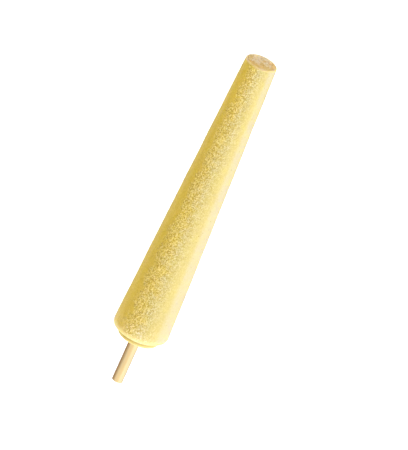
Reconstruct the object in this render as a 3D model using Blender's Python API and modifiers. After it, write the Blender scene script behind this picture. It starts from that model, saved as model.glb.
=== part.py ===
"""Ice lolly: a long tapered milk ice on a round stick, lying on its side.

Metres, +Z up. The tip points along +X and the stick along -X. The lolly leans by its own
taper, so that its underside lies level on z = 0, along a narrow flat that it rests on.
"""

import math
import random

import bmesh
import bpy
from mathutils import Matrix, Vector, noise

# Driving dimensions, along the lolly's axis and out from it
ICE_LENGTH = 0.1535
RIM_RADIUS = 0.0141
TIP_RADIUS = 0.0078
RIM_ROUNDING = 0.0011
TIP_ROUNDING = 0.0007

# The shallow plug below the rim, where the mould's stopper was
PLUG_RADIUS = 0.0105
PLUG_DEPTH = 0.0038
PLUG_ROUNDING = 0.0013
PLUG_SHIFT_Y = -0.00010

# The layer of chopped nuts that settled in the end of the mould
NUT_RADIUS = 0.0071
NUT_THICKNESS = 0.0020
NUT_BELOW_TIP = 0.0001
NUT_COUNT = 44
NUT_SIZE = 0.0011
NUT_PROUD = 0.00022

# The stick
STICK_RADIUS = 0.00275
STICK_SHOWN = 0.0256
STICK_HIDDEN = 0.0600
STICK_CHAMFER = 0.0003
STICK_SHIFT_Y = 0.00028

# Fit, rest and unevenness: the rim's -Y side is worn rounder than the other
GAP = 0.0003
FLAT_DEPTH = 0.00018
WAVINESS = 0.00010
WAVE_LENGTH = 0.016
RIM_WEAR = 0.0012
RIM_WEAR_REACH = 0.0028
SEED = 7

# Facets
TURN_STEPS = 64
ROUNDING_STEPS = 5
SIDE_RINGS = 16

ICE_COLOUR = (0.94, 0.86, 0.55)
NUT_COLOUR = (0.86, 0.73, 0.53)
STICK_COLOUR = (0.95, 0.83, 0.60)

TAPER = math.atan((RIM_RADIUS - TIP_RADIUS) / ICE_LENGTH)
STICK_END = -(PLUG_DEPTH + STICK_SHOWN)


def linear(srgb):
    """The linear colour of an sRGB one, both 0 to 1."""
    return tuple(c / 12.92 if c <= 0.04045 else ((c + 0.055) / 1.055) ** 2.4 for c in srgb)


def surface(name, srgb, roughness):
    """A plain Principled material."""
    made = bpy.data.materials.new(name)
    made.use_nodes = True
    shader = made.node_tree.nodes["Principled BSDF"]
    shader.inputs["Base Color"].default_value = (*linear(srgb), 1.0)
    shader.inputs["Roughness"].default_value = roughness
    shader.inputs["Metallic"].default_value = 0.0
    return made


def clear_scene():
    """Removes the scene's objects and gives back two new collections, for parts and cutters."""
    for old in list(bpy.data.objects):
        bpy.data.objects.remove(old, do_unlink=True)
    made = []
    for name in ("ice_lolly", "cutters"):
        collection = bpy.data.collections.new(name)
        bpy.context.scene.collection.children.link(collection)
        made.append(collection)
    return made


def lolly_axis(collection):
    """An empty at the middle of the rim, whose Z runs along the lolly to its tip."""
    tip_reach = ICE_LENGTH * math.cos(TAPER) + (TIP_RADIUS - TIP_ROUNDING) * math.sin(TAPER)
    stick_reach = STICK_END * math.cos(TAPER) - STICK_RADIUS * math.sin(TAPER)
    axis = bpy.data.objects.new("lolly_axis", None)
    axis.location = (-(tip_reach + stick_reach) / 2, 0.0, RIM_RADIUS * math.cos(TAPER) - FLAT_DEPTH)
    axis.rotation_euler = (0.0, math.pi / 2 + TAPER, 0.0)
    collection.objects.link(axis)
    return axis


def rounded(centre_r, centre_z, radius, first, last):
    """Points of an arc about (centre_r, centre_z), from one angle to another in degrees."""
    points = []
    for step in range(ROUNDING_STEPS + 1):
        angle = math.radians(first + (last - first) * step / ROUNDING_STEPS)
        points.append((centre_r + radius * math.cos(angle), centre_z + radius * math.sin(angle)))
    return points


def ice_profile():
    """The ice's outline from the axis at the tip, down the outside, to the axis in the socket."""
    lean = math.degrees(TAPER)
    recess = NUT_RADIUS + GAP
    recess_floor = ICE_LENGTH - NUT_BELOW_TIP - NUT_THICKNESS - GAP
    bore = STICK_RADIUS + GAP
    bore_end = STICK_HIDDEN - PLUG_DEPTH + GAP
    tip = rounded(TIP_RADIUS - TIP_ROUNDING, ICE_LENGTH - TIP_ROUNDING, TIP_ROUNDING, 90, lean)
    rim = rounded(RIM_RADIUS - RIM_ROUNDING, RIM_ROUNDING, RIM_ROUNDING, lean, -90)
    plug = rounded(PLUG_RADIUS - PLUG_ROUNDING, PLUG_ROUNDING - PLUG_DEPTH, PLUG_ROUNDING, 0, -90)
    edge = [point for point in tip if point[0] > recess + GAP / 3]
    points = [(0.0, recess_floor), (recess, recess_floor), (recess, edge[0][1])]
    points += edge
    for ring in range(1, SIDE_RINGS):
        share = ring / SIDE_RINGS
        points.append(tuple(high + (low - high) * share for high, low in zip(tip[-1], rim[0])))
    points += rim
    points.append((PLUG_RADIUS, 0.0))
    points += plug
    points += [(bore, -PLUG_DEPTH), (bore, bore_end), (0.0, bore_end)]
    return points


def turned(name, profile, collection, axis):
    """A closed solid turned from a profile of (radius, height) points, as a plain mesh."""
    mesh = bpy.data.meshes.new(name)
    edges = [(i, i + 1) for i in range(len(profile) - 1)]
    mesh.from_pydata([(r, 0.0, z) for r, z in profile], edges, [])
    piece = bpy.data.objects.new(name, mesh)
    collection.objects.link(piece)
    screw = piece.modifiers.new("turn", "SCREW")
    screw.axis = "Z"
    screw.steps = TURN_STEPS
    screw.render_steps = TURN_STEPS
    screw.use_merge_vertices = True
    screw.merge_threshold = 0.00001
    freeze(piece)
    piece.parent = axis
    return piece


def freeze(piece):
    """Replaces a piece's mesh by what its modifiers make of it."""
    graph = bpy.context.evaluated_depsgraph_get()
    made = bpy.data.meshes.new_from_object(piece.evaluated_get(graph))
    old = piece.data
    piece.modifiers.clear()
    piece.data = made
    made.name = piece.name
    bpy.data.meshes.remove(old)


def eased(value, low, high):
    """0 below low, 1 above high and a smooth step between."""
    share = min(max((value - low) / (high - low), 0.0), 1.0)
    return share * share * (3 - 2 * share)


def make_uneven(piece):
    """Gives the moulded side slight waves, wears the rim on one side, and shifts plug and socket."""
    for vertex in piece.data.vertices:
        x, y, z = vertex.co
        out = math.hypot(x, y)
        if out < STICK_RADIUS + 2 * GAP:
            vertex.co.y += STICK_SHIFT_Y
        elif z < GAP and out < PLUG_RADIUS + GAP:
            vertex.co.y += PLUG_SHIFT_Y
        else:
            outside = eased(out, NUT_RADIUS + 1.5 * GAP, NUT_RADIUS + 3 * GAP)
            wave = noise.noise(Vector((x, y, z)) / WAVE_LENGTH + Vector((SEED, 0.0, 0.0)))
            swell = 1.0 + outside * WAVINESS * wave / out
            edge = max(out - RIM_RADIUS + RIM_WEAR_REACH, 0.0) / RIM_WEAR_REACH
            near_rim = 1.0 - eased(z, RIM_ROUNDING, ICE_LENGTH / SIDE_RINGS)
            lift = RIM_WEAR * max(-y / out, 0.0) ** 2 * edge**2 * near_rim
            vertex.co = (x * swell, y * swell, z + lift)


def cut_flat(piece, cutters):
    """Cuts the narrow flat that the lolly rests on, level with z = 0."""
    size = ICE_LENGTH * 1.5
    mesh = bpy.data.meshes.new("floor_cutter")
    shape = bmesh.new()
    bmesh.ops.create_cube(shape, size=size)
    shape.to_mesh(mesh)
    shape.free()
    cutter = bpy.data.objects.new("floor_cutter", mesh)
    cutter.location = (0.0, 0.0, -size / 2)
    cutter.hide_render = True
    cutter.display_type = "WIRE"
    cutters.objects.link(cutter)
    flat = piece.modifiers.new("flat", "BOOLEAN")
    flat.object = cutter
    flat.operation = "DIFFERENCE"
    flat.solver = "EXACT"


def nut_places():
    """Where the bits of nut lie: a sunflower spiral with seeded jitter, size and turn."""
    draw = random.Random(SEED)
    golden = math.pi * (3 - math.sqrt(5))
    reach = NUT_RADIUS - 0.8 * NUT_SIZE
    places = []
    for index in range(NUT_COUNT):
        out = reach * math.sqrt((index + 0.5) / NUT_COUNT)
        angle = index * golden + draw.uniform(-0.25, 0.25)
        size = NUT_SIZE * draw.uniform(0.7, 1.25)
        stretch = draw.uniform(1.0, 1.6)
        turn = draw.uniform(0, math.pi)
        rise = NUT_PROUD * draw.uniform(0.6, 1.4)
        places.append((out * math.cos(angle), out * math.sin(angle), size, stretch, turn, rise))
    return places


def nut_bit(name, place, level):
    """One low crumb of nut, a squashed faceted ball whose top stands just proud of the level."""
    x, y, size, stretch, turn, rise = place
    mesh = bpy.data.meshes.new(name)
    shape = bmesh.new()
    bmesh.ops.create_icosphere(shape, subdivisions=1, radius=1.0)
    height = 3 * NUT_PROUD
    grow = Matrix.Diagonal((size * stretch, size / stretch, height, 1.0))
    lift = Matrix.Translation((x, y, level + rise - height))
    bmesh.ops.transform(shape, matrix=lift @ Matrix.Rotation(turn, 4, "Z") @ grow, verts=shape.verts)
    shape.to_mesh(mesh)
    shape.free()
    return bpy.data.objects.new(name, mesh)


def make_nut_layer(parts, cutters, axis):
    """The disc of chopped nuts in the recess of the tip, its crumbs fused to its face."""
    level = ICE_LENGTH - NUT_BELOW_TIP
    bottom = level - NUT_THICKNESS
    edge = NUT_PROUD
    profile = [(0.0, level), (NUT_RADIUS - edge, level), (NUT_RADIUS, level - edge)]
    profile += [(NUT_RADIUS, bottom), (0.0, bottom)]
    layer = turned("nut_layer", profile, parts, axis)
    layer.parent = None
    bits = bpy.data.collections.new("nut_bits")
    cutters.children.link(bits)
    for index, place in enumerate(nut_places()):
        bits.objects.link(nut_bit(f"nut_bit_{index}", place, level))
    join = layer.modifiers.new("crumbs", "BOOLEAN")
    join.operation = "UNION"
    join.operand_type = "COLLECTION"
    join.collection = bits
    join.solver = "MANIFOLD"
    bpy.context.view_layer.update()
    freeze(layer)
    for bit in list(bits.objects):
        bpy.data.objects.remove(bit, do_unlink=True)
    bpy.data.collections.remove(bits)
    layer.parent = axis
    return layer


def make_stick(parts, axis):
    """The round stick, most of it hidden in the ice, with its two ends lightly chamfered."""
    length = STICK_SHOWN + STICK_HIDDEN
    mesh = bpy.data.meshes.new("stick")
    shape = bmesh.new()
    middle = Matrix.Translation((0.0, 0.0, STICK_END + length / 2))
    bmesh.ops.create_cone(
        shape,
        cap_ends=True,
        segments=TURN_STEPS // 2,
        radius1=STICK_RADIUS,
        radius2=STICK_RADIUS,
        depth=length,
        matrix=middle,
    )
    shape.to_mesh(mesh)
    shape.free()
    stick = bpy.data.objects.new("stick", mesh)
    stick.location = (0.0, STICK_SHIFT_Y, 0.0)
    parts.objects.link(stick)
    chamfer = stick.modifiers.new("chamfer", "BEVEL")
    chamfer.width = STICK_CHAMFER
    chamfer.segments = 2
    chamfer.limit_method = "ANGLE"
    chamfer.angle_limit = math.radians(60)
    stick.parent = axis
    return stick


def shade(piece, material):
    """Gives a piece its one material and smooth shading up to its real edges."""
    piece.data.materials.clear()
    piece.data.materials.append(material)
    piece.data.shade_smooth()
    piece.data.set_sharp_from_angle(angle=math.radians(35))


def main():
    parts, cutters = clear_scene()
    axis = lolly_axis(parts)
    ice = turned("ice", ice_profile(), parts, axis)
    make_uneven(ice)
    cut_flat(ice, cutters)
    layer = make_nut_layer(parts, cutters, axis)
    stick = make_stick(parts, axis)
    shade(ice, surface("frosted_milk_ice", ICE_COLOUR, 0.45))
    shade(layer, surface("chopped_nuts", NUT_COLOUR, 0.7))
    shade(stick, surface("stick_wood", STICK_COLOUR, 0.6))


main()
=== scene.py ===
import math
import random

import bmesh
import bpy
from mathutils import Matrix, Vector


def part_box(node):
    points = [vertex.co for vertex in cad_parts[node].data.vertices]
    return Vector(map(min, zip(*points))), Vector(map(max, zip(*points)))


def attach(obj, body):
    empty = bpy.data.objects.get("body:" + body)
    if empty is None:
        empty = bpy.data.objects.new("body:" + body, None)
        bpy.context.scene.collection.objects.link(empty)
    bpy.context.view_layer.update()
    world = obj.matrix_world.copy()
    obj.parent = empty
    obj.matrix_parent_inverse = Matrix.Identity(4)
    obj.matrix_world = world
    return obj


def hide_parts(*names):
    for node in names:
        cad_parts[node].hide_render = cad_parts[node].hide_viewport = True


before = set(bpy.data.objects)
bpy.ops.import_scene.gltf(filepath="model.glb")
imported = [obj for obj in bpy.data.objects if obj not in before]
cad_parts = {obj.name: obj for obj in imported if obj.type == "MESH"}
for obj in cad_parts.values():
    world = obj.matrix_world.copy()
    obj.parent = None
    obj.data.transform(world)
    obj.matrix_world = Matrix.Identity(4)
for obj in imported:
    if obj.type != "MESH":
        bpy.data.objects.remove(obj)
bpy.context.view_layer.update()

bl_info = {
    "name": "Ice Lolly",
    "version": (1, 0, 0),
    "blender": (4, 5, 0),
    "location": "View3D > Sidebar > Lolly",
    "description": "Models a frosted milk ice on a round stick, with a tip of chopped nuts",
    "category": "Add Mesh",
}

ICE_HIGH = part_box("ice")[1]
NUT_LOW, NUT_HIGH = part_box("nut_layer")
STICK_LOW, STICK_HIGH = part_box("stick")

# In pixels, and what the lights stand round
PICTURE_HEIGHT = 450
ICE_MIDDLE = Vector((0, 0, 0.012))

# How many shapes the bits of nut have, and the faces across the stick's cut end
NUT_KINDS = 6
END_RINGS = 9

# Where the surface of the ice changes, as heights over the rim
# The painted highlight over the rim's edge and the plug fades out by these heights, with a faint haze of it higher up
LIP_HIGHLIGHT_FADES = (0.0010, 0.0044)
HIGHLIGHT_HAZE_FADES = (0.0040, 0.0120)
FROST_BEGINS = (0.0010, 0.0045)
# The painted shade in the crease deepens between these heights
CREASE_SHADE_DEEPENS = (-0.0038, -0.0012)

# The same near the tip, as depths below its edge
FROST_ENDS = (0.0028, 0.0006)
STAIN_BEGINS = (0.0010, 0.0001)
ICE_THINS = (0.0120, 0.0010)


class IceSizes(bpy.types.PropertyGroup):
    """The form of the moulded ice"""

    length: bpy.props.FloatProperty(
        name="Length", description="From the rim to the tip, along the ice", default=0.1535, unit="LENGTH"
    )
    rim_radius: bpy.props.FloatProperty(
        name="Rim radius", description="Half the width at the stick end", default=0.0141, unit="LENGTH"
    )
    tip_radius: bpy.props.FloatProperty(
        name="Tip radius", description="Half the width at the tip", default=0.0078, unit="LENGTH"
    )
    rim_rounding: bpy.props.FloatProperty(
        name="Rim rounding", description="Radius of the rim's soft edge", default=0.0011, unit="LENGTH"
    )
    tip_rounding: bpy.props.FloatProperty(
        name="Tip rounding", description="Radius of the tip's soft edge", default=0.0007, unit="LENGTH"
    )
    plug_radius: bpy.props.FloatProperty(
        name="Plug radius", description="Half the width of the plug below the rim", default=0.0105, unit="LENGTH"
    )
    plug_depth: bpy.props.FloatProperty(
        name="Plug depth", description="How far the plug stands out of the rim", default=0.0038, unit="LENGTH"
    )
    plug_rounding: bpy.props.FloatProperty(
        name="Plug rounding", description="Radius of the plug's soft edge", default=0.0013, unit="LENGTH"
    )
    plug_shift: bpy.props.FloatProperty(
        name="Plug shift", description="How far the plug sits off centre", default=-0.00010, unit="LENGTH"
    )
    crease: bpy.props.FloatProperty(
        name="Crease", description="Width and depth of the crease round the plug", default=0.0006, unit="LENGTH"
    )
    rim_wear: bpy.props.FloatProperty(
        name="Rim wear", description="How much rounder the rim is on one side", default=0.0012, unit="LENGTH"
    )
    wear_reach: bpy.props.FloatProperty(
        name="Wear reach", description="How far in from the rim the wear begins", default=0.0028, unit="LENGTH"
    )
    flat_depth: bpy.props.FloatProperty(
        name="Flat depth", description="How much of the round side is pressed flat", default=0.00018, unit="LENGTH"
    )
    sides: bpy.props.IntProperty(name="Sides", description="Faces round the ice", default=200, min=64, max=240)
    cell: bpy.props.FloatProperty(
        name="Cell", description="Length of a face along the ice", default=0.00043, unit="LENGTH"
    )


class FrostLook(bpy.types.PropertyGroup):
    """The frozen surface of the ice"""

    grain: bpy.props.FloatProperty(
        name="Grain", description="Width of the frozen pits", default=0.0011, unit="LENGTH"
    )
    depth: bpy.props.FloatProperty(
        name="Depth", description="Depth of the frozen pits", default=0.00009, unit="LENGTH"
    )
    swell: bpy.props.FloatProperty(
        name="Swell", description="Depth of the slow waves in the side", default=0.00012, unit="LENGTH"
    )
    swell_width: bpy.props.FloatProperty(
        name="Swell width", description="Width of the slow waves", default=0.016, unit="LENGTH"
    )
    crystal: bpy.props.FloatProperty(
        name="Crystal", description="Width of a frost crystal", default=0.00036, unit="LENGTH"
    )
    stretch: bpy.props.FloatProperty(
        name="Stretch", description="How much longer than wide the crystals are, along the ice", default=1.35
    )
    slant: bpy.props.FloatProperty(
        name="Slant", description="How far the crystals lean from along the ice",
        default=math.radians(-20), subtype="ANGLE"
    )
    depth_of_light: bpy.props.FloatProperty(
        name="Depth of light", description="How far light spreads in the ice, as the shader counts it", default=0.007
    )
    clear: bpy.props.FloatVectorProperty(
        name="Clear ice", description="Colour where no frost lies",
        subtype="COLOR", size=3, default=(0.612, 0.429, 0.052)
    )
    milky: bpy.props.FloatVectorProperty(
        name="Milky ice", description="Colour under thick frost",
        subtype="COLOR", size=3, default=(0.605, 0.443, 0.082)
    )
    # Pale ice is thin frost and partly painted light: the long light's pale veil over the middle of the side
    pale: bpy.props.FloatVectorProperty(
        name="Pale ice", description="Colour under thin frost", subtype="COLOR", size=3, default=(0.535, 0.436, 0.152)
    )
    # Painted highlight: the creamy colour stands for the long light's sheen on the -Y side
    cream_highlight: bpy.props.FloatVectorProperty(
        name="Cream", description="Colour of the smooth pale side",
        subtype="COLOR", size=3, default=(0.556, 0.485, 0.276)
    )
    # Painted shade: the edge past the creamy highlight, turning away from the long light, is painted darker
    far_side_shade: bpy.props.FloatVectorProperty(
        name="Far side", description="Colour past the cream", subtype="COLOR", size=3, default=(0.547, 0.457, 0.247)
    )
    # Painted highlight: the smooth skin over the rim's edge and the plug is painted pale, as if it caught the light
    lip_highlight: bpy.props.FloatVectorProperty(
        name="Lip", description="Colour of the smooth skin over the rim's edge",
        subtype="COLOR", size=3, default=(0.775, 0.632, 0.326)
    )
    # Painted shade: the pits are painted darker, as if in their own shadow
    pit_shade: bpy.props.FloatVectorProperty(
        name="Pit", description="How dark the pits are beside the ice round them",
        size=3, default=(0.680, 0.600, 0.350)
    )
    # White frost with painted glints: the crystals are painted brighter, as if they caught the long light
    frost: bpy.props.FloatVectorProperty(
        name="Frost", description="How bright the crystals are beside the ice under them",
        size=3, default=(1.320, 1.500, 2.800)
    )
    grey: bpy.props.FloatVectorProperty(
        name="Grey", description="How grey some of the crystals are", size=3, default=(0.840, 0.830, 0.900)
    )
    # Painted reflection: the clear side's edge is painted paler, as if it caught the white all round
    outer: bpy.props.FloatVectorProperty(
        name="Outer edge", description="How pale the clear side is where it turns away",
        size=3, default=(1.060, 1.080, 1.400)
    )
    # Painted shade in the crease between the rim and the plug
    crease_shade: bpy.props.FloatVectorProperty(
        name="In the crease", description="How dark the crease is beside the lip",
        size=3, default=(0.490, 0.430, 0.080)
    )


class NutLook(bpy.types.PropertyGroup):
    """The layer of chopped nuts in the tip"""

    radius: bpy.props.FloatProperty(
        name="Radius", description="Half the width of the layer", default=(NUT_HIGH.y - NUT_LOW.y) / 2, unit="LENGTH"
    )
    thickness: bpy.props.FloatProperty(
        name="Thickness", description="Depth of the layer", default=0.0020, unit="LENGTH"
    )
    below_tip: bpy.props.FloatProperty(
        name="Below tip", description="How far the layer lies below the tip's edge", default=0.0001, unit="LENGTH"
    )
    count: bpy.props.IntProperty(name="Count", description="Large bits of nut", default=44, min=1)
    size: bpy.props.FloatProperty(
        name="Size", description="Half the width of a large bit", default=0.0011, unit="LENGTH"
    )
    proud: bpy.props.FloatProperty(
        name="Proud", description="How far the bits stand out", default=0.00022, unit="LENGTH"
    )
    crumbs: bpy.props.IntProperty(name="Crumbs", description="Small crumbs between the bits", default=150, min=0)
    pale: bpy.props.FloatVectorProperty(
        name="Pale", description="Colour of the cut nut", subtype="COLOR", size=3, default=(0.746, 0.569, 0.348)
    )
    tan: bpy.props.FloatVectorProperty(
        name="Tan", description="Colour of most of the nut", subtype="COLOR", size=3, default=(0.633, 0.394, 0.125)
    )
    skin: bpy.props.FloatVectorProperty(
        name="Skin", description="Colour of the nut's skin", subtype="COLOR", size=3, default=(0.34, 0.19, 0.07)
    )


class StickLook(bpy.types.PropertyGroup):
    """The round stick"""

    radius: bpy.props.FloatProperty(
        name="Radius", description="Half the stick's width", default=(STICK_HIGH.y - STICK_LOW.y) / 2, unit="LENGTH"
    )
    shift: bpy.props.FloatProperty(
        name="Shift", description="How far the stick sits off centre",
        default=(STICK_HIGH.y + STICK_LOW.y) / 2, unit="LENGTH"
    )
    shown: bpy.props.FloatProperty(
        name="Shown", description="Length that stands out of the plug", default=0.0256, unit="LENGTH"
    )
    hidden: bpy.props.FloatProperty(
        name="Hidden", description="Length inside the ice", default=0.0600, unit="LENGTH"
    )
    chamfer: bpy.props.FloatProperty(
        name="Chamfer", description="Width of the worn edge at the cut end", default=0.0003, unit="LENGTH"
    )
    wood: bpy.props.FloatVectorProperty(
        name="Wood", description="Colour of the stick", subtype="COLOR", size=3, default=(0.587, 0.435, 0.202)
    )
    grain: bpy.props.FloatVectorProperty(
        name="Grain", description="Colour of the dark fibres", subtype="COLOR", size=3, default=(0.54, 0.38, 0.18)
    )
    # Painted shade along the +Y side of the stick
    shaded: bpy.props.FloatVectorProperty(
        name="Shaded side", description="How dark the browner side is beside the rest",
        size=3, default=(0.500, 0.360, 0.200)
    )
    # Painted highlight where the long light falls on the stick
    stripe: bpy.props.FloatVectorProperty(
        name="Stripe", description="How pale the lit stripe is beside the rest", size=3, default=(1.050, 1.150, 1.300)
    )
    # Painted shade on the stick's -Y edge, past the highlight
    outer: bpy.props.FloatVectorProperty(
        name="Outer edge", description="How dark the edge past the stripe is beside it",
        size=3, default=(0.780, 0.760, 0.850)
    )
    # Painted shade where the stick goes into the plug
    root_shade: bpy.props.FloatVectorProperty(
        name="Damp", description="How dark the wood is where it meets the ice",
        size=3, default=(0.750, 0.700, 0.650)
    )


class StageLook(bpy.types.PropertyGroup):
    """Camera, floor and lights"""

    tilt: bpy.props.FloatProperty(
        name="Tilt", description="How far the camera looks from square on towards the tip",
        default=math.radians(24.88), subtype="ANGLE"
    )
    roll: bpy.props.FloatProperty(
        name="Roll", description="How far the lolly leans to the right in the picture",
        default=math.radians(24.46), subtype="ANGLE"
    )
    distance: bpy.props.FloatProperty(
        name="Distance", description="From the camera to the lolly", default=2.375, unit="LENGTH"
    )
    pixel: bpy.props.FloatProperty(
        name="Pixel", description="Size of a pixel of the picture at the lolly", default=0.000475, unit="LENGTH"
    )
    aim: bpy.props.FloatProperty(
        name="Aim", description="How far from the rim, along the ice, the camera aims", default=0.06398, unit="LENGTH"
    )
    aim_right: bpy.props.FloatProperty(
        name="Aim right", description="How far right of the ice the camera aims, in pixels", default=13.95
    )
    aim_down: bpy.props.FloatProperty(
        name="Aim down", description="How far below that the camera aims, in pixels", default=4.36
    )
    key: bpy.props.FloatProperty(name="Key", description="Power of the long light in watts", default=5.13)
    key_angle: bpy.props.FloatProperty(
        name="Key angle", description="How far the long light stands from straight above",
        default=math.radians(50), subtype="ANGLE"
    )
    key_distance: bpy.props.FloatProperty(
        name="Key distance", description="From the long light to the ice", default=0.6, unit="LENGTH"
    )
    fill: bpy.props.FloatProperty(
        name="Fill", description="Power of the weak light over the +Y side in watts", default=1.1
    )
    fill_angle: bpy.props.FloatProperty(
        name="Fill angle", description="How far the fill light stands from straight above",
        default=math.radians(37.1), subtype="ANGLE"
    )
    fill_distance: bpy.props.FloatProperty(
        name="Fill distance", description="From the fill light to the ice", default=0.5, unit="LENGTH"
    )
    rim_light: bpy.props.FloatProperty(
        name="Rim light", description="Power of the light on the rim in watts", default=1.78
    )
    tip_light: bpy.props.FloatProperty(
        name="Tip light", description="Power of the light at the tip in watts", default=1.09
    )
    sky: bpy.props.FloatProperty(name="Sky", description="Strength of the light all round", default=0.15)
    glow: bpy.props.FloatProperty(name="Glow", description="How much light the floor gives from below", default=0.23)
    white: bpy.props.FloatProperty(name="White", description="How bright the floor looks by itself", default=0.88)
    floor: bpy.props.FloatVectorProperty(
        name="Floor", description="Colour of the floor", subtype="COLOR", size=3, default=(0.5, 0.5, 0.5)
    )


def taper(ice):
    """The angle between the ice's axis and its side."""
    return math.atan((ice.rim_radius - ice.tip_radius) / ice.length)


def lying(ice):
    """The matrix that lays what is modelled upright on the rim's middle down on the floor."""
    angle = taper(ice)
    reach = ice.length * math.cos(angle) + (ice.tip_radius - ice.tip_rounding) * math.sin(angle)
    place = Vector((ICE_HIGH.x - reach, 0.0, ice.rim_radius * math.cos(angle) - ice.flat_depth))
    return Matrix.Translation(place) @ Matrix.Rotation(math.pi / 2 + angle, 4, "Y")


def lay_down(piece, ice):
    """Moves a finished piece to its place on the floor, and leaves its object at the origin."""
    piece.matrix_world = lying(ice)
    activate(piece)
    bpy.ops.object.transform_apply(location=True, rotation=True, scale=True)


def activate(piece):
    """Makes one piece the only selected and the active one."""
    bpy.ops.object.select_all(action="DESELECT")
    piece.select_set(True)
    bpy.context.view_layer.objects.active = piece


def fresh(name, add, **settings):
    """Adds a primitive with nothing else selected, and names it."""
    bpy.ops.object.select_all(action="DESELECT")
    add(**settings)
    made = bpy.context.object
    made.name = name
    made.data.name = name
    bpy.ops.object.transform_apply(location=True, rotation=True, scale=True)
    return made


def pick(piece, kind, test):
    """In edit mode, selects the faces, edges or vertices that pass a test."""
    bpy.ops.mesh.select_mode(type=kind)
    bpy.ops.mesh.select_all(action="DESELECT")
    shape = bmesh.from_edit_mesh(piece.data)
    parts = {"VERT": shape.verts, "EDGE": shape.edges, "FACE": shape.faces}[kind]
    for part in parts:
        if test(part):
            part.select_set(True)
    bmesh.update_edit_mesh(piece.data)


def out(vertex):
    """How far a vertex lies from the axis that its piece is turned about."""
    return math.hypot(vertex.co.x, vertex.co.y)


def ring(radius, height, slack=1e-5):
    """A test for the edges of one ring of a turned piece."""
    def test(edge):
        ends = edge.verts
        return all(abs(out(v) - radius) < slack and abs(v.co.z - height) < slack for v in ends)
    return test


def extrude(z):
    """Extrudes what is selected along the axis."""
    bpy.ops.mesh.extrude_region_move(TRANSFORM_OT_translate={"value": (0, 0, z)})


def add_modifier(piece, kind, **settings):
    """Adds a modifier with its settings and applies it."""
    activate(piece)
    made = piece.modifiers.new(kind.lower(), kind)
    for name, value in settings.items():
        setattr(made, name, value)
    bpy.ops.object.modifier_apply(modifier=made.name)


def clouds(name, width, depth):
    """A noise texture of one width for a Displace modifier."""
    made = bpy.data.textures.new(name, "CLOUDS")
    made.noise_scale = width
    made.noise_depth = depth
    made.noise_basis = "ORIGINAL_PERLIN"
    return made


def weigh(piece, name, weight):
    """Gives the piece a vertex group whose weight is worked out from each vertex's place."""
    group = piece.vertex_groups.new(name=name)
    for vertex in piece.data.vertices:
        share = weight(vertex)
        if share > 0.0:
            group.add([vertex.index], min(share, 1.0), "REPLACE")


def store(mesh, name, values):
    """Stores a number for each vertex under a name that the material reads."""
    numbers = mesh.attributes.new(name, "FLOAT", "POINT")
    numbers.data.foreach_set("value", values)


def eased(value, low, high):
    """0 below low, 1 above high and a smooth step between."""
    share = min(max((value - low) / (high - low), 0.0), 1.0)
    return share * share * (3 - 2 * share)


def below_tip(ice, depths):
    """Two depths below the tip's edge as heights over the rim."""
    return [ice.length - depth for depth in depths]


def smooth(piece, angle):
    """Shades a piece smooth up to its real edges."""
    activate(piece)
    bpy.ops.object.shade_smooth_by_angle(angle=math.radians(angle))


def finish_piece(piece, material, node):
    """Gives a piece its material, hangs it under the root body and hides the node's own part that it stands for."""
    piece.data.materials.clear()
    piece.data.materials.append(material)
    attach(piece, "root")
    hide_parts(node)


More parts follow.
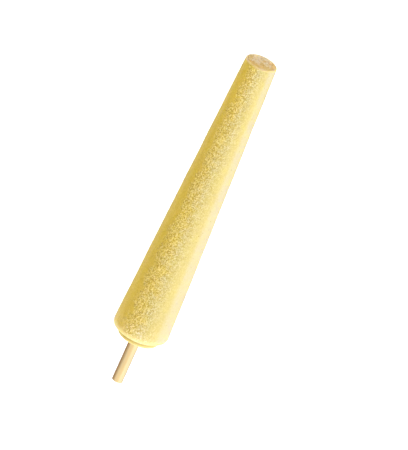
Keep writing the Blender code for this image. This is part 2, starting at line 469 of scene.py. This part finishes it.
class Tree:
    """A material's nodes, with short calls to add and join them."""

    def __init__(self, name):
        self.material = bpy.data.materials.new(name)
        self.material.use_nodes = True
        self.nodes = self.material.node_tree.nodes
        self.links = self.material.node_tree.links
        self.shader = self.nodes["Principled BSDF"]
        self.place = self.nodes.new("ShaderNodeTexCoord").outputs["Object"]

    def set(self, **values):
        """Sets the shader's own sockets, an underscore standing for each space."""
        for name, value in values.items():
            self.shader.inputs[name.replace("_", " ")].default_value = value

    def join(self, source, target):
        """Links a socket to another, or sets that other one to a number or a colour."""
        if isinstance(source, bpy.types.NodeSocket):
            self.links.new(source, target)
        elif isinstance(source, (int, float)):
            target.default_value = source
        else:
            target.default_value = (*tuple(source)[:3], 1.0)

    def noise(self, width, detail=2.0, rough=0.5, stretch=None, turn=None):
        """Soft noise of about one width, 0 to 1."""
        made = self.nodes.new("ShaderNodeTexNoise")
        made.inputs["Scale"].default_value = 1.0 / width
        made.inputs["Detail"].default_value = detail
        made.inputs["Roughness"].default_value = rough
        self.links.new(self.mapped(stretch, turn), made.inputs["Vector"])
        return made.outputs["Fac"]

    def cells(self, width, stretch=None, turn=None):
        """Cells of about one width: the distance to each cell's middle and a random colour."""
        made = self.nodes.new("ShaderNodeTexVoronoi")
        made.inputs["Scale"].default_value = 1.0 / width
        self.links.new(self.mapped(stretch, turn), made.inputs["Vector"])
        return made

    def mapped(self, stretch=None, turn=None):
        """The object's own coordinates, stretched along its axes and turned."""
        if not stretch and not turn:
            return self.place
        made = self.nodes.new("ShaderNodeMapping")
        made.vector_type = "TEXTURE"
        if stretch:
            made.inputs["Scale"].default_value = stretch
        if turn:
            made.inputs["Rotation"].default_value = turn
        self.links.new(self.place, made.inputs["Vector"])
        return made.outputs["Vector"]

    def ramp(self, source, low, high, bottom=0.0, top=1.0):
        """Takes a value from low..high to bottom..top with a smooth step."""
        made = self.nodes.new("ShaderNodeMapRange")
        made.interpolation_type = "SMOOTHSTEP"
        self.links.new(source, made.inputs["Value"])
        for name, value in (("From Min", low), ("From Max", high), ("To Min", bottom), ("To Max", top)):
            made.inputs[name].default_value = value
        return made.outputs["Result"]

    def math(self, kind, first, second=0.0):
        """Works out a sum, a product or the like of two values."""
        made = self.nodes.new("ShaderNodeMath")
        made.operation = kind
        self.join(first, made.inputs[0])
        self.join(second, made.inputs[1])
        return made.outputs["Value"]

    def blend(self, share, first, second):
        """Mixes two colours by a share."""
        made = self.nodes.new("ShaderNodeMix")
        made.data_type = "RGBA"
        self.join(share, made.inputs["Factor"])
        self.join(first, made.inputs[6])
        self.join(second, made.inputs[7])
        return made.outputs[2]

    def times(self, share, colour, factor):
        """Multiplies a share of a colour by a factor for each channel."""
        made = self.nodes.new("ShaderNodeMix")
        made.data_type = "RGBA"
        made.blend_type = "MULTIPLY"
        self.join(share, made.inputs["Factor"])
        self.join(colour, made.inputs[6])
        self.join(factor, made.inputs[7])
        return made.outputs[2]

    def parts(self, colour):
        """The red, green and blue of a colour."""
        made = self.nodes.new("ShaderNodeSeparateColor")
        self.links.new(colour, made.inputs["Color"])
        return made.outputs

    def attribute(self, name):
        """A number stored on the mesh."""
        made = self.nodes.new("ShaderNodeAttribute")
        made.attribute_name = name
        return made.outputs["Fac"]

    def bump(self, height, distance, strength=1.0):
        """Bends the normal by a height."""
        made = self.nodes.new("ShaderNodeBump")
        made.inputs["Strength"].default_value = strength
        made.inputs["Distance"].default_value = distance
        self.links.new(height, made.inputs["Height"])
        return made.outputs["Normal"]


def frosted_milk_ice(look, nuts):
    """Golden milk ice: clear on one side, under a crust of frost on top, and smooth on the other, where it is painted
    creamy as a highlight from the long light.
    """
    tree = Tree("frosted_milk_ice")
    side = tree.attribute("side")
    # Where the frost begins, in uneven patches; its crystals thin out towards the -Y side, so that their painted
    # shade and glints fade where the long light falls square on
    patch = tree.noise(0.006, 3.0, 0.6)
    mottle = tree.noise(0.0024, 3.0, 0.6)
    wander = tree.math("ADD", side, tree.ramp(patch, 0.25, 0.75, -0.14, 0.14))
    wander = tree.math("ADD", wander, tree.ramp(mottle, 0.25, 0.75, -0.08, 0.08))
    cover = tree.math("MULTIPLY", tree.ramp(wander, -0.68, -0.48, 0.25), tree.ramp(side, -0.4, 0.9, 0.95, 0.05))
    cover = tree.math("MULTIPLY", cover, tree.ramp(tree.attribute("pale"), 0.3, 0.9, 1.0, 0.3))
    # The ice under it, from the clear side to the creamy one: its own gold on the +Y side, paling towards -Y partly
    # as thin frost and partly as painted light, up to a painted creamy highlight where the long light falls
    colour = tree.blend(tree.ramp(wander, -0.70, -0.40), look.clear, look.milky)
    # Painted reflection: paler where the clear side turns away
    colour = tree.times(tree.ramp(side, -0.76, -0.90), colour, look.outer)
    colour = tree.blend(tree.ramp(wander, -0.42, 0.22), colour, look.pale)
    # Painted highlight: creamy on the -Y side, where the long light falls
    colour = tree.blend(tree.ramp(side, 0.55, 0.78), colour, look.cream_highlight)
    # Painted shade on the far -Y edge, past the highlight
    colour = tree.blend(tree.ramp(side, 0.84, 0.99), colour, look.far_side_shade)
    # Painted highlight over the rim's rounded edge and the plug
    colour = tree.blend(tree.math("MULTIPLY", tree.attribute("pale"), 0.85), colour, look.lip_highlight)
    # The crystals: each cell has its own chance of being dark, bright or grey, with pale dashes between them; the
    # dark pits are painted shade, and the bright crystals are white frost with painted glints
    along = (look.stretch, 1.0, 1.0)
    slant = (0.0, 0.0, look.slant)
    crystals = tree.cells(look.crystal, along, slant)
    chance = tree.parts(crystals.outputs["Color"])
    thread = tree.noise(1.8 * look.crystal, 1.0, stretch=along, turn=slant)
    thread = tree.ramp(tree.math("ABSOLUTE", tree.math("SUBTRACT", thread, 0.5)), 0.0, 0.07, 1.0, 0.0)
    dark = tree.ramp(chance["Red"], 0.36, 0.24)
    bright = tree.ramp(chance["Red"], 0.66, 0.78)
    grey = tree.ramp(chance["Green"], 0.80, 0.86)
    dash = tree.math("MULTIPLY", thread, tree.ramp(chance["Blue"], 0.35, 0.5))
    strand = tree.math("MULTIPLY", dash, tree.math("SUBTRACT", 1.0, bright))
    for share, amount, factor in (
        (dark, 0.95, look.pit_shade),
        (bright, 0.9, look.frost),
        (strand, 0.45, look.frost),
        (grey, 0.5, look.grey),
    ):
        colour = tree.times(tree.math("MULTIPLY", share, tree.math("MULTIPLY", cover, amount)), colour, factor)
    # Painted shade: a few cells anywhere are darkened as shaded pits
    colour = tree.times(tree.ramp(chance["Green"], 0.008, 0.004, 0.0, 0.8), colour, look.pit_shade)
    # Painted shade in the crease under the rim, deepest on the +Y side, and the nuts' stain at the tip
    crease = tree.math("MULTIPLY", tree.attribute("crease"), tree.ramp(side, -0.6, 0.4, 1.0, 0.8))
    colour = tree.times(crease, colour, look.crease_shade)
    tint = [(a + b) / 2 for a, b in zip(nuts.tan, nuts.pale)]
    colour = tree.blend(tree.math("MULTIPLY", tree.attribute("stain"), 0.85), colour, tint)
    tree.links.new(colour, tree.shader.inputs["Base Color"])
    height = tree.math("ADD", tree.math("MULTIPLY", dash, 0.6), chance["Red"])
    height = tree.math("SUBTRACT", height, crystals.outputs["Distance"])
    height = tree.math("MULTIPLY", height, cover)
    tree.links.new(tree.bump(height, look.crystal / 2), tree.shader.inputs["Normal"])
    spread = tree.ramp(tree.attribute("thick"), 0.0, 1.0, 0.002, look.depth_of_light)
    tree.links.new(spread, tree.shader.inputs["Subsurface Scale"])
    tree.set(
        Roughness=0.55,
        IOR=1.45,
        Specular_IOR_Level=0.35,
        Subsurface_Weight=0.8,
        Subsurface_Radius=(1.0, 0.86, 0.05),
    )
    return tree.material


def chopped_nuts(look):
    """Tan nut, each crumb its own shade, with a few skins and pale cut faces."""
    tree = Tree("chopped_nuts")
    tone = tree.attribute("tone")
    patch = tree.noise(0.005, 2.0)
    shade = tree.math("ADD", tree.math("MULTIPLY", tone, 0.5), tree.ramp(patch, 0.3, 0.7, -0.1, 0.4))
    colour = tree.blend(tree.ramp(shade, 0.1, 0.8), look.tan, look.pale)
    colour = tree.blend(tree.ramp(tree.noise(0.0012, 1.0), 0.68, 0.76, 0.0, 0.4), colour, look.skin)
    speck = tree.noise(0.0007, 3.0, 0.6)
    colour = tree.blend(tree.ramp(speck, 0.55, 0.75, 0.0, 0.3), colour, look.skin)
    tree.links.new(colour, tree.shader.inputs["Base Color"])
    tree.links.new(tree.ramp(speck, 0.3, 0.7, 0.5, 0.75), tree.shader.inputs["Roughness"])
    tree.links.new(tree.bump(speck, 0.00008, 0.6), tree.shader.inputs["Normal"])
    tree.set(
        IOR=1.45,
        Specular_IOR_Level=0.3,
        Subsurface_Weight=0.4,
        Subsurface_Radius=(1.0, 0.6, 0.3),
        Subsurface_Scale=0.002,
    )
    return tree.material


def split_wood(look):
    """Pale wood with long straight fibres, with painted light across it: painted shade, browner, along the +Y side, a
    painted highlight stripe towards -Y and painted shade on the edge past it.
    """
    tree = Tree("stick_wood")
    along = (30.0, 1.0, 1.0)
    fibre = tree.noise(0.00022, 3.0, 0.6, stretch=along)
    band = tree.noise(0.0011, 2.0, 0.5, stretch=along)
    colour = tree.blend(tree.ramp(band, 0.35, 0.65, 0.0, 0.3), look.wood, look.grain)
    colour = tree.blend(tree.ramp(fibre, 0.52, 0.72, 0.0, 0.35), colour, look.grain)
    side = tree.attribute("side")
    # Painted shade: the +Y side is painted darker and browner
    colour = tree.times(tree.ramp(side, -0.35, -0.95), colour, look.shaded)
    # Painted highlight: a pale stripe where the long light falls
    colour = tree.times(tree.ramp(side, 0.15, 0.35), colour, look.stripe)
    # Painted shade on the edge past the stripe
    colour = tree.times(tree.ramp(side, 0.70, 0.95), colour, look.outer)
    # Painted shade on the wood where it meets the ice
    colour = tree.times(tree.attribute("root_shade"), colour, look.root_shade)
    tree.links.new(colour, tree.shader.inputs["Base Color"])
    tree.links.new(tree.ramp(fibre, 0.3, 0.7, 0.42, 0.62), tree.shader.inputs["Roughness"])
    tree.links.new(tree.bump(fibre, 0.00006, 0.7), tree.shader.inputs["Normal"])
    tree.set(IOR=1.5, Subsurface_Weight=0.2, Subsurface_Radius=(1.0, 0.6, 0.3), Subsurface_Scale=0.003)
    return tree.material


def seen_and_felt(tree, seen, felt, target):
    """Gives a strength one value where the camera sees it and another where it lights something."""
    strength = tree.nodes.new("ShaderNodeMapRange")
    strength.inputs["To Min"].default_value = felt
    strength.inputs["To Max"].default_value = seen
    tree.links.new(tree.nodes.new("ShaderNodeLightPath").outputs["Is Camera Ray"], strength.inputs["Value"])
    tree.links.new(strength.outputs["Result"], target)


def running(z_low, z_high, r_low, r_high, slack=2e-5):
    """A test for the edges that run along or across one band of a turned piece, and not round it."""
    def test(edge):
        (z_1, r_1), (z_2, r_2) = ((v.co.z, out(v)) for v in edge.verts)
        inside = z_low - slack < min(z_1, z_2) and max(z_1, z_2) < z_high + slack
        inside = inside and r_low - slack < min(r_1, r_2) and max(r_1, r_2) < r_high + slack
        return inside and abs(z_1 - z_2) + abs(r_1 - r_2) > slack
    return test


def cut_into(piece, test, parts):
    """Cuts every edge that passes a test into equal parts, twenty at most at a time."""
    while parts > 1:
        step = min(parts, 20)
        pick(piece, "EDGE", test)
        bpy.ops.mesh.subdivide(number_cuts=step - 1)
        parts = math.ceil(parts / step)


class LOLLY_OT_ice(bpy.types.Operator):
    """Model the tapered ice with its rim, plug, socket and frozen surface"""

    bl_idname = "lolly.ice"
    bl_label = "Ice"

    def execute(self, context):
        ice = context.scene.lolly_ice
        look = context.scene.lolly_frost
        nuts = context.scene.lolly_nuts
        stick = context.scene.lolly_stick
        snug = 0.00003
        recess = nuts.radius + snug
        bore = stick.radius + snug
        floor_of_recess = ice.length - nuts.below_tip - nuts.thickness - snug
        piece = fresh(
            "frosted_ice",
            bpy.ops.mesh.primitive_cone_add,
            vertices=ice.sides,
            radius1=ice.rim_radius,
            radius2=ice.tip_radius,
            depth=ice.length,
            end_fill_type="NGON",
            location=(0, 0, ice.length / 2),
        )
        bpy.ops.object.mode_set(mode="EDIT")
        root = ice.plug_radius + ice.crease
        pick(piece, "FACE", lambda face: face.normal.z < -0.9)
        bpy.ops.mesh.inset(thickness=ice.rim_radius - root)
        extrude(z=ice.crease)
        bpy.ops.mesh.inset(thickness=ice.crease)
        extrude(z=-ice.crease - ice.plug_depth)
        bpy.ops.mesh.inset(thickness=ice.plug_radius - bore)
        extrude(z=stick.hidden)
        pick(piece, "FACE", lambda face: face.normal.z > 0.9 and face.calc_center_median().z > ice.length / 2)
        bpy.ops.mesh.inset(thickness=ice.tip_radius - recess)
        extrude(z=floor_of_recess - ice.length)
        for radius, height, rounding, segments in (
            (ice.rim_radius, 0.0, ice.rim_rounding, 8),
            (root, 0.0, ice.crease * 0.45, 4),
            (ice.plug_radius, -ice.plug_depth, ice.plug_rounding, 8),
            (ice.tip_radius, ice.length, ice.tip_rounding, 6),
        ):
            pick(piece, "EDGE", ring(radius, height))
            bpy.ops.mesh.bevel(offset=rounding, segments=segments, affect="EDGES")
        side = (ice.rim_rounding * 0.9, ice.length - ice.tip_rounding * 0.9, ice.tip_radius * 0.9, ice.rim_radius)
        under_rim = (0.0, 0.0, root, ice.rim_radius - ice.rim_rounding * 0.9)
        plug_side = (ice.plug_rounding * 0.9 - ice.plug_depth, ice.crease, ice.plug_radius, ice.plug_radius)
        plug_end = (-ice.plug_depth, -ice.plug_depth, bore, ice.plug_radius - ice.plug_rounding * 0.9)
        for band, parts in ((side, round(ice.length / ice.cell)), (under_rim, 4), (plug_side, 7), (plug_end, 16)):
            cut_into(piece, running(*band), parts)
        slack = 0.0002
        pick(piece, "VERT", lambda v: out(v) < bore + slack and v.co.z < ice.length / 2)
        bpy.ops.transform.translate(value=(0, stick.shift, 0))
        edge = (bore + 3 * slack, ice.plug_radius + slack)
        pick(piece, "VERT", lambda v: v.co.z < ice.crease + slack and edge[0] < out(v) < edge[1])
        bpy.ops.transform.translate(value=(0, ice.plug_shift, 0))
        bpy.ops.object.mode_set(mode="OBJECT")
        weigh(piece, "worn", lambda v: self.worn(v, ice))
        weigh(piece, "frosted", lambda v: self.frosted(v, ice, bore, recess))
        weigh(piece, "swelling", lambda v: eased(out(v), recess, recess + 0.0006))
        add_modifier(piece, "DISPLACE", direction="Z", strength=ice.rim_wear, mid_level=0.0, vertex_group="worn")
        for group, strength, texture in (
            ("swelling", 2 * look.swell, clouds("swell", look.swell_width, 0)),
            ("frosted", 1.4 * look.depth, clouds("dents", 2.2 * look.grain, 1)),
            ("frosted", 2 * look.depth, clouds("pits", look.grain, 1)),
        ):
            add_modifier(piece, "DISPLACE", strength=strength, vertex_group=group, texture=texture)
        for rule in (self.pale, self.crease, self.side, self.stain, self.thick):
            store(piece.data, rule.__name__, [rule(v, ice) for v in piece.data.vertices])
        lay_down(piece, ice)
        bpy.ops.object.mode_set(mode="EDIT")
        pick(piece, "VERT", lambda v: v.co.z < 0.0)
        bpy.ops.transform.resize(value=(1, 1, 0), center_override=(0, 0, 0))
        bpy.ops.object.mode_set(mode="OBJECT")
        piece.vertex_groups.clear()
        smooth(piece, 50)
        finish_piece(piece, frosted_milk_ice(look, nuts), "ice")
        return {"FINISHED"}

    @staticmethod
    def worn(vertex, ice):
        """How much of the rim's wear reaches a vertex: all on the -Y side, none inside."""
        away = out(vertex)
        if away < ice.plug_radius:
            return 0.0
        edge = max(away - ice.rim_radius + ice.wear_reach, 0.0) / ice.wear_reach
        near = 1.0 - eased(vertex.co.z, ice.rim_rounding, ice.length / 16)
        return max(-vertex.co.y / away, 0.0) ** 2 * edge**2 * near

    @staticmethod
    def frosted(vertex, ice, bore, recess):
        """How rough the frost is at a vertex: smooth on the edges, none in the hollows."""
        z = vertex.co.z
        away = out(vertex)
        if away < bore + 0.0005 or (z > ice.length / 2 and away < recess + 0.0001):
            return 0.0
        rim = eased(z, *FROST_BEGINS)
        tip = 1.0 - eased(z, *below_tip(ice, FROST_ENDS))
        return 0.25 + 0.75 * min(rim, tip)

    @staticmethod
    def pale(vertex, ice):
        """How much smooth skin, painted pale as a highlight, covers a vertex: all over the plug and the rim's edge, a
        little above.
        """
        return max(1.0 - eased(vertex.co.z, *LIP_HIGHLIGHT_FADES), 0.2 - 0.2 * eased(vertex.co.z, *HIGHLIGHT_HAZE_FADES))

    @staticmethod
    def crease(vertex, ice):
        """How far into the crease between the rim and the plug a vertex lies, which sets how much painted shade it
        gets.
        """
        z = vertex.co.z
        if z > ice.crease or out(vertex) > ice.plug_radius + 2 * ice.crease:
            return 0.0
        return eased(z, *CREASE_SHADE_DEEPENS)

    @staticmethod
    def side(vertex, ice):
        """Which way round the ice a vertex faces: 1 towards -Y, -1 towards +Y, 0 up or down."""
        return -vertex.co.y / max(out(vertex), 1e-6)

    @staticmethod
    def stain(vertex, ice):
        """How much the nuts have tinted a vertex: all at the tip's edge, fading below it."""
        return eased(vertex.co.z, *below_tip(ice, STAIN_BEGINS))

    @staticmethod
    def thick(vertex, ice):
        """How much ice lies under a vertex: little at the tip, where the nuts begin."""
        return 1.0 - eased(vertex.co.z, *below_tip(ice, ICE_THINS))


class LOLLY_OT_nut_tip(bpy.types.Operator):
    """Model the chopped nuts that fill the tip"""

    bl_idname = "lolly.nut_tip"
    bl_label = "Nut tip"

    def execute(self, context):
        ice = context.scene.lolly_ice
        look = context.scene.lolly_nuts
        level = ice.length - look.below_tip
        bed = self.bed(look, level)
        kinds = [self.nut(index) for index in range(NUT_KINDS)]
        draw = random.Random(7)
        golden = math.pi * (3 - math.sqrt(5))
        pieces = [bed]
        for index in range(look.count):
            away = (look.radius - 0.8 * look.size) * math.sqrt((index + 0.5) / look.count)
            angle = index * golden + draw.uniform(-0.25, 0.25)
            size = look.size * draw.uniform(0.7, 1.25)
            stretch = draw.uniform(1.0, 1.6)
            turn = draw.uniform(0, math.pi)
            rise = look.proud * draw.uniform(0.6, 1.4)
            scale = (size * stretch, size / stretch, 3 * look.proud)
            spot = (away * math.cos(angle), away * math.sin(angle), level + rise - scale[2])
            tone = self.tone(spot[0], look, draw.random())
            pieces.append(self.copy(kinds[index % NUT_KINDS], spot, scale, turn, tone))
        for index in range(look.crumbs):
            size = look.size * draw.uniform(0.18, 0.42)
            away = (look.radius - size * 1.4) * math.sqrt(draw.random())
            angle = draw.uniform(0, 2 * math.pi)
            scale = (size * draw.uniform(1.0, 1.6), size, size * 0.7)
            spot = (away * math.cos(angle), away * math.sin(angle), level + look.proud * draw.uniform(0.1, 0.7))
            tone = self.tone(spot[0], look, draw.random())
            pieces.append(self.copy(kinds[index % NUT_KINDS], spot, scale, draw.uniform(0, math.pi), tone))
        for kind in kinds:
            bpy.data.objects.remove(kind, do_unlink=True)
        bpy.ops.object.select_all(action="DESELECT")
        for piece in pieces:
            piece.select_set(True)
        context.view_layer.objects.active = bed
        bpy.ops.object.join()
        lay_down(bed, ice)
        smooth(bed, 35)
        finish_piece(bed, chopped_nuts(look), "nut_layer")
        return {"FINISHED"}

    @staticmethod
    def bed(look, level):
        """The disc that the nuts are frozen into."""
        piece = fresh(
            "chopped_nut_tip",
            bpy.ops.mesh.primitive_cylinder_add,
            vertices=96,
            radius=look.radius,
            depth=look.thickness,
            end_fill_type="NGON",
            location=(0, 0, level - look.thickness / 2),
        )
        bpy.ops.object.mode_set(mode="EDIT")
        pick(piece, "FACE", lambda face: face.normal.z > 0.9)
        rings = 22
        for _ in range(rings):
            bpy.ops.mesh.inset(thickness=look.radius / (rings + 1))
        bpy.ops.object.mode_set(mode="OBJECT")
        weigh(piece, "top", lambda v: float(v.co.z > level - 1e-5 and out(v) < look.radius - 1e-4))
        add_modifier(piece, "DISPLACE", direction="Z", strength=0.0004, mid_level=0.62, vertex_group="top",
                     texture=clouds("bed", 0.0009, 2))
        piece.vertex_groups.clear()
        store(piece.data, "tone", [LOLLY_OT_nut_tip.tone(v.co.x, look, 0.5) for v in piece.data.vertices])
        return piece

    @staticmethod
    def tone(x, look, chance):
        """How pale a bit of nut is: by chance, and paler towards the side that lies low."""
        return chance * 0.7 + 0.5 * x / look.radius

    @staticmethod
    def nut(index):
        """One bit of nut one unit in radius: a ball with chopped faces."""
        piece = fresh(f"nut_kind_{index}", bpy.ops.mesh.primitive_ico_sphere_add, subdivisions=2, radius=1.0)
        draw = random.Random(index)
        bpy.ops.object.mode_set(mode="EDIT")
        for _ in range(4):
            normal = Vector([draw.uniform(-1, 1) for _ in range(3)]).normalized()
            bpy.ops.mesh.select_all(action="SELECT")
            bpy.ops.mesh.bisect(
                plane_co=normal * draw.uniform(0.55, 0.8), plane_no=normal, use_fill=True, clear_outer=True
            )
        bpy.ops.mesh.select_all(action="SELECT")
        bpy.ops.mesh.normals_make_consistent(inside=False)
        bpy.ops.object.mode_set(mode="OBJECT")
        return piece

    @staticmethod
    def copy(kind, spot, scale, turn, tone):
        """A bit of nut with its own mesh, place, size, turn and shade."""
        mesh = kind.data.copy()
        place = Matrix.Translation(spot) @ Matrix.Rotation(turn, 4, "Z") @ Matrix.Diagonal((*scale, 1.0))
        mesh.transform(place)
        store(mesh, "tone", [tone] * len(mesh.vertices))
        piece = bpy.data.objects.new("nut", mesh)
        bpy.context.scene.collection.objects.link(piece)
        return piece


class LOLLY_OT_stick(bpy.types.Operator):
    """Model the round stick with its fibres and cut end"""

    bl_idname = "lolly.stick"
    bl_label = "Stick"

    def execute(self, context):
        ice = context.scene.lolly_ice
        look = context.scene.lolly_stick
        length = look.shown + look.hidden
        end = -(ice.plug_depth + look.shown)
        piece = fresh(
            "wooden_stick",
            bpy.ops.mesh.primitive_cylinder_add,
            vertices=72,
            radius=look.radius,
            depth=length,
            end_fill_type="NGON",
            location=(0, look.shift, end + length / 2),
        )
        bpy.ops.object.mode_set(mode="EDIT")
        pick(piece, "EDGE", lambda edge: abs(edge.verts[0].co.z - edge.verts[1].co.z) > length / 2)
        bpy.ops.mesh.subdivide(number_cuts=95)
        pick(piece, "EDGE", lambda edge: edge.verts[0].co.z < end + 1e-6 and edge.verts[1].co.z < end + 1e-6)
        bpy.ops.mesh.bevel(offset=look.chamfer, segments=3, affect="EDGES")
        pick(piece, "FACE", lambda face: face.normal.z < -0.99)
        for _ in range(END_RINGS):
            bpy.ops.mesh.inset(thickness=look.radius / (END_RINGS + 2))
        bpy.ops.object.mode_set(mode="OBJECT")
        weigh(piece, "cut_end", lambda v: float(v.co.z < end + look.chamfer / 4))
        add_modifier(piece, "DISPLACE", direction="Z", strength=0.00022, mid_level=0.3, vertex_group="cut_end",
                     texture=clouds("fibres", 0.0006, 2))
        piece.vertex_groups.clear()
        # Painted shade on the stick from just below the plug up into the ice
        root_shade_from = -ice.plug_depth - 0.0012
        store(piece.data, "side", [(look.shift - v.co.y) / look.radius for v in piece.data.vertices])
        store(piece.data, "root_shade", [eased(v.co.z, root_shade_from, -ice.plug_depth) for v in piece.data.vertices])
        lay_down(piece, ice)
        smooth(piece, 40)
        finish_piece(piece, split_wood(look), "stick")
        return {"FINISHED"}


class LOLLY_OT_stage(bpy.types.Operator):
    """Set up the floor, the lights and the camera"""

    bl_idname = "lolly.stage"
    bl_label = "Stage"

    def execute(self, context):
        look = context.scene.lolly_stage
        ice = context.scene.lolly_ice
        self.floor(look)
        self.world(context, look)
        self.lights(look)
        self.camera(context, look, ice)
        context.scene.view_settings.view_transform = "Standard"
        return {"FINISHED"}

    @staticmethod
    def floor(look):
        """A plain pale floor that gives a little light of its own, so that it stays white."""
        floor = fresh("floor", bpy.ops.mesh.primitive_grid_add, x_subdivisions=4, y_subdivisions=4, size=6.0)
        tree = Tree("pale_floor")
        tree.set(
            Base_Color=(*look.floor, 1.0),
            Roughness=0.9,
            Specular_IOR_Level=0.1,
            Emission_Color=(1.0, 1.0, 1.0, 1.0),
        )
        seen_and_felt(tree.material.node_tree, look.white, look.glow, tree.shader.inputs["Emission Strength"])
        floor.data.materials.append(tree.material)

    @staticmethod
    def world(context, look):
        """A weak white sky to light by, with a bright one behind all that the camera sees."""
        world = bpy.data.worlds.new("soft_light")
        world.use_nodes = True
        nodes = world.node_tree.nodes
        background = nodes["Background"]
        background.inputs["Color"].default_value = (1.0, 1.0, 1.0, 1.0)
        seen_and_felt(world.node_tree, 1.0, look.sky, background.inputs["Strength"])
        context.scene.world = world

    @staticmethod
    def lights(look):
        """A long light over the -Y side, a weak one over the +Y side, and softboxes before the tip and the rim."""
        key = Vector((0, -math.sin(look.key_angle), math.cos(look.key_angle))) * look.key_distance
        fill = Vector((0, math.sin(look.fill_angle), math.cos(look.fill_angle))) * look.fill_distance
        for name, place, aim, size, power in (
            ("long_light", key + Vector((-0.08, 0, 0)), key, (0.5, 0.10), look.key),
            ("fill_light", fill + Vector((-0.15, 0, 0)), fill, (0.4, 0.15), look.fill),
            ("tip_softbox", Vector((0.38, 0.02, 0.17)), Vector((0.30, 0.02, 0.17)), (0.2, 0.2), look.tip_light),
            ("rim_softbox", Vector((-0.5, 0.25, 0.22)), Vector((-0.45, 0.25, 0.22)), (0.3, 0.3), look.rim_light),
        ):
            data = bpy.data.lights.new(name, "AREA")
            data.shape = "RECTANGLE"
            data.size, data.size_y = size
            data.energy = power
            light = bpy.data.objects.new(name, data)
            light.location = place + ICE_MIDDLE
            light.rotation_euler = aim.to_track_quat("Z", "Y").to_euler()
            bpy.context.scene.collection.objects.link(light)

    @staticmethod
    def camera(context, look, ice):
        """Looks down on the shown side, a little from the tip, with the tip up and to the right."""
        shown = lying(ice)
        along = shown.to_3x3() @ Vector((0, 0, 1))
        right = Vector((0, -1, 0))
        upward = right.cross(along).normalized()
        back = (math.sin(look.tilt) * along + math.cos(look.tilt) * upward).normalized()
        tip_up = (along - along.dot(back) * back).normalized()
        turn = Matrix.Rotation(look.roll, 3, back)
        up = turn @ tip_up
        side = up.cross(back)
        middle = shown @ Vector((0, 0, look.aim))
        middle += side * (look.aim_right * look.pixel) - up * (look.aim_down * look.pixel)
        data = bpy.data.cameras.new("camera")
        data.sensor_width = 36.0
        data.lens = data.sensor_width * look.distance / (PICTURE_HEIGHT * look.pixel)
        data.clip_start = look.distance / 100
        data.clip_end = look.distance * 10
        camera = bpy.data.objects.new("camera", data)
        rotation = Matrix((side, up, back)).transposed().to_4x4()
        camera.matrix_world = Matrix.Translation(middle + back * look.distance) @ rotation
        context.scene.collection.objects.link(camera)
        context.scene.camera = camera


class LOLLY_PT_panel(bpy.types.Panel):
    """Lists the lolly's pieces and its stage"""

    bl_idname = "LOLLY_PT_panel"
    bl_label = "Ice lolly"
    bl_space_type = "VIEW_3D"
    bl_region_type = "UI"
    bl_category = "Lolly"

    def draw(self, context):
        scene = context.scene
        for operator, groups in (
            ("lolly.ice", (scene.lolly_ice, scene.lolly_frost)),
            ("lolly.nut_tip", (scene.lolly_nuts,)),
            ("lolly.stick", (scene.lolly_stick,)),
            ("lolly.stage", (scene.lolly_stage,)),
        ):
            box = self.layout.box()
            box.operator(operator)
            for group in groups:
                for name in group.__annotations__:
                    box.prop(group, name)


GROUPS = {
    "lolly_ice": IceSizes,
    "lolly_frost": FrostLook,
    "lolly_nuts": NutLook,
    "lolly_stick": StickLook,
    "lolly_stage": StageLook,
}
TOOLS = (LOLLY_OT_ice, LOLLY_OT_nut_tip, LOLLY_OT_stick, LOLLY_OT_stage, LOLLY_PT_panel)


def register():
    for name, group in GROUPS.items():
        bpy.utils.register_class(group)
        setattr(bpy.types.Scene, name, bpy.props.PointerProperty(type=group))
    for tool in TOOLS:
        bpy.utils.register_class(tool)


def unregister():
    for tool in reversed(TOOLS):
        bpy.utils.unregister_class(tool)
    for name, group in reversed(GROUPS.items()):
        delattr(bpy.types.Scene, name)
        bpy.utils.unregister_class(group)


def main():
    register()
    bpy.ops.lolly.ice()
    bpy.ops.lolly.nut_tip()
    bpy.ops.lolly.stick()
    bpy.ops.lolly.stage()


if __name__ == "__main__":
    main()
